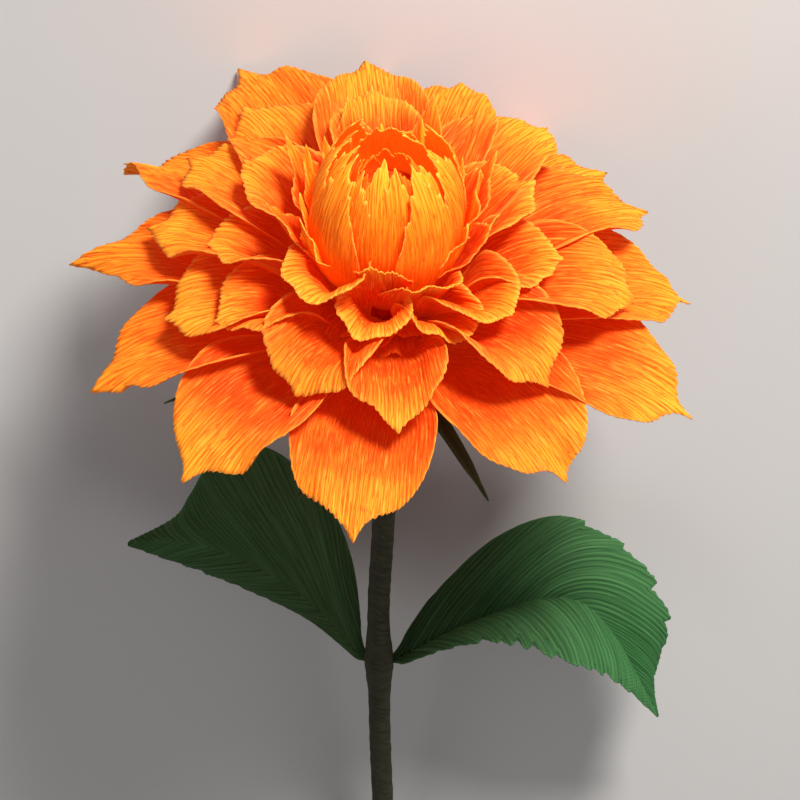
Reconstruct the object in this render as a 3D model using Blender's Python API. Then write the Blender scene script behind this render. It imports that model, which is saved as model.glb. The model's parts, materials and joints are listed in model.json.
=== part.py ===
# A paper dahlia on a wrapped wire stem, with two leaves. Lengths are in metres, angles in degrees.
# It is modelled upright, stem along -Z, with its origin at the foot of the bloom, and then laid
# down as it comes to rest on a table, with the face of the bloom toward -Y.

import math

import bmesh
import bpy
from mathutils import Matrix, Vector
from mathutils.bvhtree import BVHTree

# Paper, and the clearance between pieces that touch
PAPER = 0.0005
GAP = 0.0003

# Stem: a wire with paper strip wound round it
WIRE_RADIUS = 0.0013
STEM_RADIUS = 0.0030
STEM_END = -0.225
JOINT_HEIGHT = -0.127  # where both leaves leave the stem
JOINT_SWELLING = 0.0005
JOINT_SPREAD = 0.009
STEM_BEND = [(0.0, 0.0), (-0.065, -0.0008), (-0.111, -0.0023), (-0.143, -0.0021), (-0.225, -0.0004)]
STEM_RINGS = 14
STEM_SIDES = 10

# Core: a wad of paper on a neck, which the petals are glued to
NECK_RADIUS = 0.0065
NECK_FOOT = -0.010
NECK_TOP = 0.0135
BALL_RADIUS = 0.0140
BALL_HALF_HEIGHT = 0.0150
BALL_HEIGHT = 0.0285
BORE_DEPTH = 0.0150
CORE_SIDES = 16

# Calyx: a collar below the core, drawn out into seven pointed sepals, as azimuth, reach and rise of
# each tip
COLLAR_DROP = 0.0025
COLLAR_LENGTH = 0.0060
COLLAR_FLARE = 0.0020
SEPAL_WIDTH = 0.0054
SEPAL_TIP_WIDTH = 0.0004
SEPAL_FOLD = 0.17  # how far each side rises, as a share of the width
SEPAL_DROOP = 14.0
SEPAL_ROWS = 4
SEPALS = [
    (-118.0, 0.047, -0.024),
    (-57.0, 0.046, -0.027),
    (-8.0, 0.057, -0.021),
    (44.0, 0.052, -0.020),
    (95.0, 0.050, -0.020),
    (147.0, 0.052, -0.020),
    (190.0, 0.057, -0.021),
]

# Petal rings, from the bud outward. seat is the height of the ring on the neck, and each of its rows
# of petals sits a step below the one before. cup is how far the paper curls up at each side, at the
# foot, the belly and the rim, and belly is how far out the deepest part lies. bend is how far a petal
# turns down from foot to tip. A petal is given by its azimuth, the reach and rise of its tip, and how
# strongly it is cupped.
RINGS = [
    {
        "name": "petal_bud",
        "columns": 4,
        "seat": 0.0120,
        "step": 0.0016,
        "foot_width": 0.0020,
        "width": 0.0105,
        "shoulder": 0.50,
        "point": 0.45,
        "belly": 0.45,
        "cup": (20.0, 34.0, 52.0),
        "bend": -106.0,
        "rows": [
            [
                (-98.0, 0.0045, 0.0560, 1.0),
                (-8.0, 0.0085, 0.0560, 1.0),
                (80.0, 0.0065, 0.0550, 1.0),
                (172.0, 0.0080, 0.0560, 1.0),
            ],
            [
                (-54.0, 0.0080, 0.0555, 1.0),
                (38.0, 0.0095, 0.0565, 1.0),
                (126.0, 0.0095, 0.0565, 1.0),
                (-142.0, 0.0080, 0.0560, 1.0),
            ],
        ],
    },
    {
        "name": "petal_inner",
        "columns": 4,
        "seat": 0.0082,
        "step": 0.0016,
        "foot_width": 0.0020,
        "width": 0.0105,
        "shoulder": 0.50,
        "point": 0.50,
        "belly": 0.45,
        "cup": (20.0, 34.0, 30.0),
        "bend": -52.0,
        "rows": [
            [
                (-95.0, 0.0230, 0.0330, 1.0),
                (-16.0, 0.0280, 0.0400, 1.0),
                (68.0, 0.0300, 0.0480, 1.0),
                (146.0, 0.0290, 0.0450, 1.0),
            ],
            [
                (-62.0, 0.0270, 0.0320, 1.2),
                (26.0, 0.0300, 0.0440, 1.0),
                (108.0, 0.0330, 0.0470, 1.0),
                (-170.0, 0.0290, 0.0430, 1.0),
            ],
        ],
    },
    {
        "name": "petal_third",
        "columns": 6,
        "seat": 0.0044,
        "step": 0.0014,
        "foot_width": 0.0021,
        "width": 0.0150,
        "shoulder": 0.66,
        "point": 0.20,
        "belly": 0.70,
        "cup": (16.0, 70.0, 66.0),
        "bend": -20.0,
        "rows": [
            [
                (-97.0, 0.0345, 0.0200, 1.35),
                (-38.0, 0.0390, 0.0240, 1.0),
                (25.0, 0.0400, 0.0310, 1.0),
                (96.0, 0.0400, 0.0420, 0.8),
                (150.0, 0.0410, 0.0350, 1.0),
            ],
            [
                (-127.0, 0.0360, 0.0230, 1.2),
                (-66.0, 0.0350, 0.0200, 1.35),
                (-5.0, 0.0430, 0.0230, 1.0),
                (180.0, 0.0450, 0.0250, 1.0),
            ],
            [
                (-154.0, 0.0460, 0.0180, 1.0),
            ],
        ],
    },
    {
        "name": "petal_second",
        "columns": 6,
        "seat": 0.0004,
        "step": 0.0014,
        "foot_width": 0.0021,
        "width": 0.0170,
        "shoulder": 0.62,
        "point": 0.30,
        "belly": 0.60,
        "cup": (14.0, 48.0, 40.0),
        "bend": 14.0,
        "rows": [
            [
                (-41.0, 0.0530, 0.0110, 1.2),
                (-6.0, 0.0630, 0.0120, 1.0),
                (146.0, 0.0620, 0.0230, 0.8),
                (96.0, 0.0600, 0.0350, 0.8),
            ],
            [
                (124.0, 0.0640, 0.0270, 0.8),
                (166.0, 0.0620, 0.0160, 1.0),
                (47.0, 0.0600, 0.0270, 1.0),
                (-119.0, 0.0460, 0.0120, 1.2),
            ],
            [
                (-87.0, 0.0520, 0.0100, 1.0),
                (72.0, 0.0620, 0.0300, 0.8),
                (24.0, 0.0730, 0.0100, 1.0),
                (-167.0, 0.0570, 0.0100, 1.0),
            ],
        ],
    },
    {
        "name": "petal_outer",
        "columns": 6,
        "seat": -0.0042,
        "step": 0.0016,
        "foot_width": 0.0022,
        "width": 0.0195,
        "shoulder": 0.60,
        "point": 0.40,
        "belly": 0.55,
        "cup": (12.0, 32.0, 26.0),
        "bend": 34.0,
        "rows": [
            [
                (144.0, 0.0850, 0.0080, 1.0),
                (58.0, 0.0760, 0.0090, 0.8),
                (-133.0, 0.0720, -0.0080, 1.0),
            ],
            [
                (90.0, 0.0740, 0.0200, 0.8),
                (42.0, 0.0760, 0.0100, 1.0),
                (6.0, 0.0780, 0.0000, 1.0),
                (-51.0, 0.0700, -0.0060, 1.0),
                (168.0, 0.0820, 0.0020, 1.0),
            ],
            [
                (-165.0, 0.0770, -0.0050, 1.0),
                (-97.0, 0.0710, -0.0095, 1.0),
                (117.0, 0.0840, 0.0190, 0.8),
                (-21.0, 0.0800, -0.0050, 1.0),
            ],
        ],
    },
]
SPREAD_POWER = 2.2
OPENING_STEP = 1.0
MOST_OPENING = 45
FLATTENINGS = (0.0, 0.15, 0.3, 0.45, 0.6, 0.75, 0.9)
FLATTENING_COST = 4.0  # degrees of opening that pressing a cup flat is as bad as
PETAL_ROWS = 6

# Leaves: each is two halves glued along a wired midrib. The curves run from the side of the stem to
# the leaf's tip, as points from where its wire leaves the stem.
LEAF_WIRE_RADIUS = 0.0005
LEAF_WIRE_REACH = 0.62  # how far along the leaf the wire runs
LEAF_REACH = 0.98  # how far along its curves the paper is cut
LEAF_STATIONS = 9
LEAF_COLUMNS = 3
LEAF_BULGE = 0.0025
LEAVES = {
    "right": {
        "midrib": [(0.0, 0.0, 0.0), (0.0204, 0.002, 0.013), (0.0446, 0.002, 0.0228),
                   (0.0588, -0.002, 0.0133), (0.0726, -0.008, -0.0152)],
        "upper": [(0.0, 0.002, 0.002), (0.0104, 0.008, 0.0173), (0.0279, 0.015, 0.033),
                  (0.0468, 0.017, 0.0387), (0.0648, 0.013, 0.0289), (0.0745, 0.004, 0.0148),
                  (0.0726, -0.008, -0.0152)],
        "lower": [(0.0, -0.002, -0.001), (0.0122, -0.008, 0.0119), (0.0270, -0.014, 0.0215),
                  (0.0440, -0.018, 0.0188), (0.0589, -0.016, 0.0087), (0.0726, -0.008, -0.0152)],
    },
    "left": {
        "midrib": [(0.0, 0.0, 0.0), (-0.0158, 0.008, 0.0153), (-0.0335, 0.014, 0.0248),
                   (-0.0492, 0.017, 0.0291), (-0.0646, 0.018, 0.0273)],
        "upper": [(0.0, 0.001, 0.004), (-0.0029, 0.008, 0.0309), (-0.0109, 0.017, 0.0467),
                  (-0.0254, 0.024, 0.0574), (-0.0399, 0.026, 0.051), (-0.0475, 0.024, 0.0378),
                  (-0.0646, 0.018, 0.0273)],
        "lower": [(0.0, 0.001, -0.003), (-0.0139, 0.012, 0.0023), (-0.0317, 0.020, 0.0063),
                  (-0.0478, 0.022, 0.0133), (-0.0646, 0.018, 0.0265)],
    },
}

# Weight of each stuff, which decides how the flower lies
PAPER_DENSITY = 500.0
WIRE_DENSITY = 7850.0

FINISHES = {
    "petal": ((0.90, 0.30, 0.02), 0.75, 0.0),
    "core": ((0.45, 0.04, 0.01), 0.85, 0.0),
    "wire": ((0.45, 0.45, 0.44), 0.35, 1.0),
    "stem": ((0.045, 0.042, 0.022), 0.70, 0.0),
    "calyx": ((0.035, 0.070, 0.018), 0.75, 0.0),
    "leaf": ((0.030, 0.150, 0.050), 0.75, 0.0),
}


def clear_scene():
    for old in list(bpy.data.objects):
        bpy.data.objects.remove(old)


def finish_of(piece, kind):
    colour, roughness, metallic = FINISHES[kind]
    material = bpy.data.materials.new(piece.name)
    material.use_nodes = True
    shader = material.node_tree.nodes["Principled BSDF"]
    shader.inputs["Base Color"].default_value = (*colour, 1.0)
    shader.inputs["Roughness"].default_value = roughness
    shader.inputs["Metallic"].default_value = metallic
    piece.data.materials.append(material)


def add_piece(name, points, faces, kind, thickness=0.0):
    """An object of these points and faces. A sheet is given its thickness, half to each side."""
    mesh = bpy.data.meshes.new(name)
    mesh.from_pydata(points, [], faces)
    mesh.shade_smooth()
    piece = bpy.data.objects.new(name, mesh)
    bpy.context.scene.collection.objects.link(piece)
    finish_of(piece, kind)
    if thickness:
        sheet = piece.modifiers.new("Paper", "SOLIDIFY")
        sheet.thickness = thickness
        sheet.offset = 0.0
    return piece


def smooth_curve(points, share):
    """A point on the smooth curve through these points, at this share of the way."""
    place = share * (len(points) - 1)
    index = min(int(place), len(points) - 2)
    t = place - index
    before = Vector(points[max(index - 1, 0)])
    start = Vector(points[index])
    end = Vector(points[index + 1])
    after = Vector(points[min(index + 2, len(points) - 1)])
    start_slope = (end - before) / 2
    end_slope = (after - start) / 2
    return (
        start * (2 * t**3 - 3 * t**2 + 1)
        + start_slope * (t**3 - 2 * t**2 + t)
        + end * (3 * t**2 - 2 * t**3)
        + end_slope * (t**3 - t**2)
    )


def ease(low, high, share):
    share = min(max(share, 0.0), 1.0)
    return low + (high - low) * share * share * (3 - 2 * share)


def grid_faces(rows, columns):
    faces = []
    for row in range(rows):
        for column in range(columns):
            first = row * (columns + 1) + column
            faces.append((first, first + 1, first + columns + 2))
            faces.append((first, first + columns + 2, first + columns + 1))
    return faces


def turned(name, profile, sides, kind):
    """A closed solid turned about the Z axis from a profile of radius and height, foot first."""
    points = []
    faces = []
    rings = []
    for radius, height in profile:
        if radius == 0:
            rings.append([len(points)] * sides)
            points.append((0.0, 0.0, height))
            continue
        rings.append(list(range(len(points), len(points) + sides)))
        for side in range(sides):
            angle = 2 * math.pi * side / sides
            points.append((radius * math.cos(angle), radius * math.sin(angle), height))
    for lower, upper in zip(rings, rings[1:]):
        for side in range(sides):
            after = (side + 1) % sides
            corners = [lower[side], lower[after], upper[after], upper[side]]
            faces.append(list(dict.fromkeys(corners)))
    return add_piece(name, points, faces, kind)


def stem_place(height):
    """How far the stem stands to the side of the axis at this height."""
    for (high, start), (low, end) in zip(STEM_BEND, STEM_BEND[1:]):
        if height >= low:
            return ease(start, end, (high - height) / (high - low))
    return STEM_BEND[-1][1]


def tube(name, heights, radius_at, bore, kind):
    """A tube along the stem, solid where bore is 0."""
    points = []
    faces = []
    walls = [radius_at] if bore == 0 else [radius_at, lambda height: bore]
    for wall in walls:
        for height in heights:
            for side in range(STEM_SIDES):
                angle = 2 * math.pi * side / STEM_SIDES
                x = stem_place(height) + wall(height) * math.cos(angle)
                points.append((x, wall(height) * math.sin(angle), height))
    count = len(heights) * STEM_SIDES
    for ring in range(len(heights) - 1):
        for side in range(STEM_SIDES):
            after = (side + 1) % STEM_SIDES
            lower = ring * STEM_SIDES
            upper = lower + STEM_SIDES
            faces.append((lower + side, upper + side, upper + after, lower + after))
            if bore:
                inner = (lower + after, upper + after, upper + side, lower + side)
                faces.append([corner + count for corner in inner])
    last = count - STEM_SIDES
    if bore == 0:
        faces.append(list(range(STEM_SIDES)))
        faces.append(list(range(count - 1, last - 1, -1)))
    else:
        for side in range(STEM_SIDES):
            after = (side + 1) % STEM_SIDES
            faces.append((side, after, after + count, side + count))
            faces.append((last + side, last + side + count, last + after + count, last + after))
    return add_piece(name, points, faces, kind)


def core_profile():
    wire_room = WIRE_RADIUS + GAP
    bore_top = NECK_FOOT + BORE_DEPTH
    profile = [(0.0, bore_top), (wire_room, bore_top), (wire_room, NECK_FOOT)]
    profile += [(NECK_RADIUS, NECK_FOOT), (NECK_RADIUS, NECK_TOP)]
    start = math.acos(NECK_RADIUS / BALL_RADIUS)
    for step in range(9):
        angle = -start + (start + math.pi / 2) * step / 8
        height = BALL_HEIGHT + BALL_HALF_HEIGHT * math.sin(angle)
        if step == 8:
            profile.append((0.0, height))
        elif height > NECK_TOP + GAP:
            profile.append((BALL_RADIUS * math.cos(angle), height))
    return profile


def wrap_radius(height):
    swell = JOINT_SWELLING * math.exp(-(((height - JOINT_HEIGHT) / JOINT_SPREAD) ** 2))
    return STEM_RADIUS + swell


def make_stem():
    wire_top = NECK_FOOT + BORE_DEPTH - GAP
    wrap_top = NECK_FOOT - GAP

    def spaced(top):
        return [top + (STEM_END - top) * ring / (STEM_RINGS - 1) for ring in range(STEM_RINGS)]

    tube("stem_wire", spaced(wire_top), lambda height: WIRE_RADIUS, 0, "wire")
    tube("stem_wrap", spaced(wrap_top), wrap_radius, WIRE_RADIUS + GAP, "stem")


def arc_point(seat, tip, bend, share):
    """Point and heading on the arc from seat to tip, in the plane of the radius and the axis."""
    chord = math.hypot(tip[0] - seat[0], tip[1] - seat[1])
    turn = math.radians(bend)
    first = math.atan2(tip[1] - seat[1], tip[0] - seat[0]) + turn / 2
    heading = first - turn * share
    radius = chord / (2 * math.sin(turn / 2))
    along = radius * (math.sin(first) - math.sin(heading))
    across = radius * (math.cos(heading) - math.cos(first))
    return seat[0] + along, seat[1] + across, heading


def place_round(azimuth, radius, side, height):
    turn = math.radians(azimuth)
    x = radius * math.cos(turn) - side * math.sin(turn)
    y = radius * math.sin(turn) + side * math.cos(turn)
    return (x, y, height)


def opened(seat, tip, opening):
    """The tip after the petal has opened away from the bud about its seat."""
    chord = math.hypot(tip[0] - seat[0], tip[1] - seat[1])
    angle = math.atan2(tip[1] - seat[1], tip[0] - seat[0]) - math.radians(opening)
    return seat[0] + chord * math.cos(angle), seat[1] + chord * math.sin(angle)


def petal_points(ring, azimuth, seat, tip, curl):
    """The sheet of one petal. Its lines run from the foot, fan out, and end at the outline."""
    points = []
    foot, belly, rim = (math.radians(angle) * curl for angle in ring["cup"])
    for row in range(PETAL_ROWS + 1):
        for column in range(ring["columns"] + 1):
            across = 2 * column / ring["columns"] - 1
            crown = (1 - abs(across) ** 2.2) ** 0.6
            crown = (1 - ring["point"]) * crown + ring["point"] * (1 - abs(across)) ** 1.6
            share = row / PETAL_ROWS * (ring["shoulder"] + (1 - ring["shoulder"]) * crown)
            spread = math.sin(math.pi / 2 * min(share / ring["shoulder"], 1.0)) ** SPREAD_POWER
            half_width = ring["foot_width"] + (ring["width"] - ring["foot_width"]) * spread
            cup = ease(foot, belly, share / ring["belly"])
            cup += ease(0.0, rim - belly, (share - ring["belly"]) / (1 - ring["belly"]))
            radius, height, heading = arc_point(seat, tip, ring["bend"], share)
            side = half_width / cup * math.sin(across * cup)
            rise = half_width / cup * (1 - math.cos(across * cup))
            radius -= rise * math.sin(heading)
            height += rise * math.cos(heading)
            points.append(place_round(azimuth, radius, side, height))
    return points


def sheet_shell(points, faces, thickness):
    """Points and faces of the sheet with its thickness, half to each side."""
    mesh = bmesh.new()
    corners = [mesh.verts.new(point) for point in points]
    for face in faces:
        mesh.faces.new([corners[index] for index in face])
    mesh.normal_update()
    mesh.verts.index_update()
    upper = [vert.co + vert.normal * thickness / 2 for vert in mesh.verts]
    lower = [vert.co - vert.normal * thickness / 2 for vert in mesh.verts]
    rim = [[vert.index for vert in edge.verts] for edge in mesh.edges if edge.is_boundary]
    mesh.free()
    count = len(points)
    shell = [list(face) for face in faces]
    shell += [[index + count for index in face] for face in faces]
    shell += [[a, b, b + count, a + count] for a, b in rim]
    return upper + lower, shell


def poses_to_try():
    """Pairs of opening and flattening, from the least change to the most."""
    pairs = []
    for step in range(int(MOST_OPENING / OPENING_STEP) + 1):
        for flattening in FLATTENINGS:
            pairs.append((step * OPENING_STEP, flattening))
    return sorted(pairs, key=lambda pair: pair[0] + FLATTENING_COST * pair[1])


def make_petals(core):
    """Petals from the bud outward, each opened and flattened until it clears those above it."""
    corners = [vertex.co.copy() for vertex in core.data.vertices]
    placed = [face.vertices[:] for face in core.data.polygons]
    seat_radius = NECK_RADIUS + GAP + PAPER / 2
    for ring in RINGS:
        faces = grid_faces(PETAL_ROWS, ring["columns"])
        number = 0
        for row, petals in enumerate(ring["rows"]):
            seat = (seat_radius, ring["seat"] - ring["step"] * row)
            for azimuth, reach, rise, curl in petals:
                taken = BVHTree.FromPolygons(corners, placed)
                for opening, flattening in poses_to_try():
                    tip = opened(seat, (reach, rise), opening)
                    points = petal_points(ring, azimuth, seat, tip, curl * (1 - flattening))
                    shell, shell_faces = sheet_shell(points, faces, PAPER + 2 * GAP)
                    if not BVHTree.FromPolygons(shell, shell_faces).overlap(taken):
                        break
                shell, shell_faces = sheet_shell(points, faces, PAPER)
                placed += [[index + len(corners) for index in face] for face in shell_faces]
                corners += shell
                number += 1
                add_piece(f"{ring['name']}_{number:02d}", points, faces, "petal", PAPER)


def make_calyx():
    """A collar round the top of the stem, and a sepal drawn out of its upper edge for each tip."""
    points = []
    faces = []
    sheet = STEM_RADIUS + GAP + PAPER / 2
    lip = sheet + COLLAR_FLARE
    top = NECK_FOOT - COLLAR_DROP
    half = 180 / len(SEPALS) * 0.8
    around = []
    for azimuth, reach, rise in SEPALS:
        around += [(azimuth - half, None), (azimuth, (reach, rise)), (azimuth + half, None)]
    count = len(around)
    for radius, height in ((sheet, top - COLLAR_LENGTH), (lip, top)):
        for azimuth, _ in around:
            points.append(place_round(azimuth, radius, 0.0, height))
    for index in range(count):
        after = (index + 1) % count
        faces.append((index, after, after + count, index + count))
    for index, (azimuth, tip) in enumerate(around):
        if tip is None:
            continue
        edge = [index - 1 + count, index + count, (index + 1) % count + count]
        for step in range(1, SEPAL_ROWS + 1):
            share = step / SEPAL_ROWS
            radius, height, heading = arc_point((lip, top), tip, SEPAL_DROOP, share)
            width = SEPAL_TIP_WIDTH + (SEPAL_WIDTH - SEPAL_TIP_WIDTH) * (1 - share * share)
            row = []
            for side in (-1, 0, 1):
                row.append(len(points))
                lift = abs(side) * width * SEPAL_FOLD
                inward = radius - lift * math.sin(heading)
                raised = height + lift * math.cos(heading)
                points.append(place_round(azimuth, inward, side * width / 2, raised))
            for near, far in ((0, 1), (1, 2)):
                faces.append((edge[near], edge[far], row[far], row[near]))
            edge = row
    return add_piece("calyx", points, faces, "calyx", PAPER)


def leaf_frame(curves, joint, share):
    """Midrib point, both edge points, and the direction out of the leaf's upper face."""
    rib, upper, lower = (joint + smooth_curve(curves[name], share) for name in curves)
    heading = smooth_curve(curves["midrib"], min(share + 0.02, 1.0)) - smooth_curve(
        curves["midrib"], max(share - 0.02, 0.0)
    )
    upper_face = heading.cross(upper - rib).normalized()
    lower_face = (lower - rib).cross(heading).normalized()
    outward = (upper_face + lower_face).normalized()
    if outward.y > 0:
        outward = -outward
    return rib, upper, lower, outward, abs(outward.dot(upper_face))


def make_leaf(side, curves):
    """Two halves that rise from the midrib, and the wire that carries them from below."""
    beside = wrap_radius(JOINT_HEIGHT) + GAP + LEAF_WIRE_RADIUS
    if curves["midrib"][-1][0] < 0:
        beside = -beside
    joint = Vector((stem_place(JOINT_HEIGHT) + beside, 0.0, JOINT_HEIGHT))
    seam = (GAP + PAPER) / 2
    faces = grid_faces(LEAF_STATIONS, LEAF_COLUMNS)
    for half in (1, 2):
        points = []
        for station in range(LEAF_STATIONS + 1):
            share = LEAF_REACH * station / LEAF_STATIONS
            frame = leaf_frame(curves, joint, share)
            across = frame[half] - frame[0]
            for column in range(LEAF_COLUMNS + 1):
                out = column / LEAF_COLUMNS
                bulge = LEAF_BULGE * math.sin(math.pi * out) * math.sin(math.pi * share)
                away = seam + (across.length - seam) * out
                points.append(frame[0] + across.normalized() * away + frame[3] * bulge)
        add_piece(f"leaf_{side}_{('upper', 'lower')[half - 1]}", points, faces, "leaf", PAPER)
    points = []
    for station in range(LEAF_STATIONS + 1):
        rib, _, _, outward, fold = leaf_frame(curves, joint, LEAF_WIRE_REACH * station / LEAF_STATIONS)
        points.append(rib - outward * (LEAF_WIRE_RADIUS + GAP + PAPER / 2) / fold)
    add_wire(f"leaf_{side}_wire", points)


def add_wire(name, points):
    curve = bpy.data.curves.new(name, "CURVE")
    curve.dimensions = "3D"
    curve.bevel_depth = LEAF_WIRE_RADIUS
    curve.bevel_resolution = 1
    curve.use_fill_caps = True
    spline = curve.splines.new("POLY")
    spline.points.add(len(points) - 1)
    for corner, point in zip(spline.points, points):
        corner.co = (*point, 1.0)
    wire = bpy.data.objects.new(name, curve)
    bpy.context.scene.collection.objects.link(wire)
    finish_of(wire, "leaf")


def solid_of(piece, graph):
    """Points of the finished piece, its volume and its centre of volume."""
    evaluated = piece.evaluated_get(graph)
    mesh = evaluated.to_mesh()
    mesh.calc_loop_triangles()
    points = [vertex.co.copy() for vertex in mesh.vertices]
    volume = 0.0
    moment = Vector()
    for triangle in mesh.loop_triangles:
        a, b, c = (points[index] for index in triangle.vertices)
        share = a.dot(b.cross(c)) / 6
        volume += share
        moment += (a + b + c) * (share / 4)
    evaluated.to_mesh_clear()
    return points, volume, moment / volume


def resting_face(points, centre):
    """Outward normal of the hull's face that the flower lies on: under its weight, and at its back."""
    hull = bmesh.new()
    for point in points:
        hull.verts.new(point)
    bmesh.ops.convex_hull(hull, input=hull.verts)
    best = None
    for face in hull.faces:
        corners = [vertex.co for vertex in face.verts]
        normal = face.normal.copy()
        if normal.dot(face.calc_center_median() - centre) < 0:
            normal = -normal
        inside = []
        for start, end in zip(corners, corners[1:] + corners[:1]):
            inside.append(normal.dot((end - start).cross(centre - start)) > 0)
        if len(set(inside)) == 1 and (best is None or normal.y > best.y):
            best = normal
    hull.free()
    return best


def lie_down():
    """Turns and moves the flower to lie as it comes to rest, the middle of its box over the origin."""
    graph = bpy.context.evaluated_depsgraph_get()
    pieces = list(bpy.data.objects)
    points = []
    weight = 0.0
    moment = Vector()
    for piece in pieces:
        density = WIRE_DENSITY if piece.name.endswith("wire") else PAPER_DENSITY
        corners, volume, middle = solid_of(piece, graph)
        points += corners
        weight += volume * density
        moment += middle * volume * density
    down = resting_face(points, moment / weight)
    stem_up = Vector((0.0, 0.0, 1.0))
    up = -down
    back = -(stem_up - up * stem_up.dot(up)).normalized()
    turn = Matrix((back.cross(up), back, up))
    turned_points = [turn @ point for point in points]
    low = [min(point[axis] for point in turned_points) for axis in range(3)]
    high = [max(point[axis] for point in turned_points) for axis in range(3)]
    flower = bpy.data.objects.new("flower", None)
    bpy.context.scene.collection.objects.link(flower)
    for piece in pieces:
        piece.parent = flower
    middle = Vector(((low[0] + high[0]) / 2, (low[1] + high[1]) / 2, low[2]))
    flower.matrix_world = Matrix.Translation(-middle) @ turn.to_4x4()


def main():
    clear_scene()
    core = turned("core", core_profile(), CORE_SIDES, "core")
    make_stem()
    make_petals(core)
    make_calyx()
    for side, curves in LEAVES.items():
        make_leaf(side, curves)
    lie_down()


main()
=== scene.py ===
import json
import math
import random

import bpy
import numpy as np
from mathutils import Matrix, Vector
from mathutils.kdtree import KDTree

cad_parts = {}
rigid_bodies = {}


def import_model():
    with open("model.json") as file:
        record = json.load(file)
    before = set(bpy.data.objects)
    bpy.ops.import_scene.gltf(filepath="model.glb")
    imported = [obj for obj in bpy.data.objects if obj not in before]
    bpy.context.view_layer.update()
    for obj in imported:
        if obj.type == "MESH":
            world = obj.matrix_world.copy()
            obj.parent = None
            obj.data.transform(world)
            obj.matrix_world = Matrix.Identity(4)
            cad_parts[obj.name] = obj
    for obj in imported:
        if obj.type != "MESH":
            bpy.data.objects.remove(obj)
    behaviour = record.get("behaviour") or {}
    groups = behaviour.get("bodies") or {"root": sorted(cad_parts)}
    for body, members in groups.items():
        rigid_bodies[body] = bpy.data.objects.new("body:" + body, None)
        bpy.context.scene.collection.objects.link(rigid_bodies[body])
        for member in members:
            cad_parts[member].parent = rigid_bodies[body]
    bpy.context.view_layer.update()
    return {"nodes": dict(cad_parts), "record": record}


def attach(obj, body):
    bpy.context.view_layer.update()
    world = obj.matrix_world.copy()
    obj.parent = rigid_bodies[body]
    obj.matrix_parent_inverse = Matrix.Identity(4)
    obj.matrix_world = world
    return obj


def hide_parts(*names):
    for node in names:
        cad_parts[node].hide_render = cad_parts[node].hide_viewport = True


print("paper dahlia: loading the frame")
for startupObject in list(bpy.data.objects):
    bpy.data.objects.remove(startupObject)
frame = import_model()


# The flower's own axes: up the stem, and round it from the azimuth of one known petal
flowerPlace = {
    "mount": "stem_end",
    "stemLength": 0.225,
    "endAside": -0.0004,
    "firstPetal": "petal_outer_01",
    "firstAzimuth": 144.0,
}


def nodePoints(name):
    # The corners of a solid's loose triangles, each once
    seen = {tuple(round(value, 7) for value in vertex.co) for vertex in frame["nodes"][name].data.vertices}
    return [Vector(corner) for corner in sorted(seen)]


def flowerAxes():
    mount = next(m for m in frame["record"]["mounts"] if m["name"] == flowerPlace["mount"])
    up = -Vector(mount["axis"]).normalized()
    end = Vector(mount["pos_m"])
    corners = nodePoints(flowerPlace["firstPetal"])
    middle = sum(corners, Vector()) / len(corners)
    foot = end + up * flowerPlace["stemLength"]
    for attempt in range(3):                     # the axis stands a little beside the stem's end
        out = middle - foot
        out = (out - up * out.dot(up)).normalized()
        right = Matrix.Rotation(-math.radians(flowerPlace["firstAzimuth"]), 3, up) @ out
        foot = end + up * flowerPlace["stemLength"] - right * flowerPlace["endAside"]
    axes = Matrix((right, up.cross(right), up)).transposed().to_4x4()
    axes.translation = foot
    return axes


flower = flowerAxes()
flowerInverse = flower.inverted()


# Camera: the photograph's view, given in the flower's axes
cameraSetup = {
    "elevation": 42.0,      # over the rim of the bloom
    "distance": 0.90,
    "focalPixels": 3600.0,
    "framePixels": 800.0,
    "footPixel": (387.0, 315.0),   # where the foot of the bloom shows
    "sensor": 36.0,
}
floorSetup = {"size": 6.0, "colour": (0.60, 0.59, 0.58)}
lightSetup = {
    "key": {"from": (-0.30, -0.84, 0.46), "distance": 1.3, "size": 0.34, "power": 24.0, "colour": (1.0, 0.97, 0.93)},
    "fill": {"from": (0.75, 0.10, 0.70), "distance": 1.5, "size": 1.1, "power": 2.5, "colour": (0.95, 0.97, 1.0)},
    "side": {"from": (-0.80, 0.25, 0.55), "distance": 1.5, "size": 1.0, "power": 3.5, "colour": (1.0, 0.98, 0.95)},
    "world": (0.75, 0.75, 0.76),
    "worldStrength": 0.24,
}


def makeCamera():
    tilt = math.radians(cameraSetup["elevation"])
    pixels = cameraSetup["framePixels"]
    data = bpy.data.cameras.new("photoView")
    data.sensor_width = cameraSetup["sensor"]
    data.lens = cameraSetup["focalPixels"] / pixels * cameraSetup["sensor"]
    data.shift_x = -(cameraSetup["footPixel"][0] - pixels / 2) / pixels
    data.shift_y = (cameraSetup["footPixel"][1] - pixels / 2) / pixels
    data.clip_start = 0.05
    camera = bpy.data.objects.new("photoView", data)
    bpy.context.scene.collection.objects.link(camera)
    back = Vector((0.0, -math.cos(tilt), math.sin(tilt)))
    upward = Vector((0.0, math.sin(tilt), math.cos(tilt)))
    place = Matrix((Vector((1.0, 0.0, 0.0)), upward, back)).transposed().to_4x4()
    place.translation = back * cameraSetup["distance"]
    camera.matrix_world = flower @ place
    bpy.context.scene.camera = camera


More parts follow.
